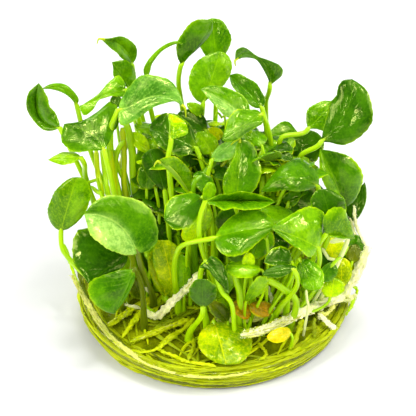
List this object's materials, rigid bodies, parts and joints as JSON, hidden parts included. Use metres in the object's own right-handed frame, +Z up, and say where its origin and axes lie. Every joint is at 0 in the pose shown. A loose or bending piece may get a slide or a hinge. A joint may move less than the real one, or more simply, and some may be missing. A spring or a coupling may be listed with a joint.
{
  "type": "schismatoglottis",
  "caption": "Clump of small broad-leaved water plants with arching petioles and pale roots, growing in a flat round disc of clear nutrient gel.",
  "frame": {"origin": "middle of the gel disc's flat underside", "axes": "+Z up out of the gel, -Y towards the front view, +X to the front view's right"},
  "size_m": [0.1017, 0.0828, 0.083],
  "materials": {
    "leaf": "gloss",
    "root": "satin",
    "gel": "gloss"
  },
  "bodies": {
    "root": {"gel_disc": "gel", "leaf_01": "leaf", "leaf_02": "leaf", "leaf_03": "leaf", "leaf_04": "leaf", "leaf_05": "leaf", "leaf_06": "leaf", "leaf_07": "leaf", "leaf_08": "leaf", "leaf_09": "leaf", "leaf_10": "leaf", "leaf_11": "leaf", "leaf_12": "leaf", "leaf_13": "leaf", "leaf_14": "leaf", "leaf_15": "leaf", "leaf_16": "leaf", "leaf_17": "leaf", "leaf_18": "leaf", "leaf_19": "leaf", "leaf_20": "leaf", "leaf_21": "leaf", "leaf_22": "leaf", "leaf_23": "leaf", "leaf_24": "leaf", "leaf_25": "leaf", "leaf_26": "leaf", "leaf_27": "leaf", "leaf_28": "leaf", "leaf_29": "leaf", "leaf_30": "leaf", "leaf_31": "leaf", "leaf_32": "leaf", "leaf_33": "leaf", "leaf_34": "leaf", "leaf_35": "leaf", "leaf_36": "leaf", "leaf_37": "leaf", "leaf_38": "leaf", "leaf_39": "leaf", "leaf_40": "leaf", "leaf_41": "leaf", "leaf_42": "leaf", "leaf_43": "leaf", "leaf_44": "leaf", "leaf_45": "leaf", "leaf_46": "leaf", "leaf_47": "leaf", "leaf_48": "leaf", "leaf_49": "leaf", "leaf_50": "leaf", "leaf_51": "leaf", "leaf_52": "leaf", "leaf_53": "leaf", "root_elbow": "root", "root_front": "root", "root_left": "root", "root_main": "root", "root_rim": "root", "root_strand": "root"}
  },
  "joints": []
}
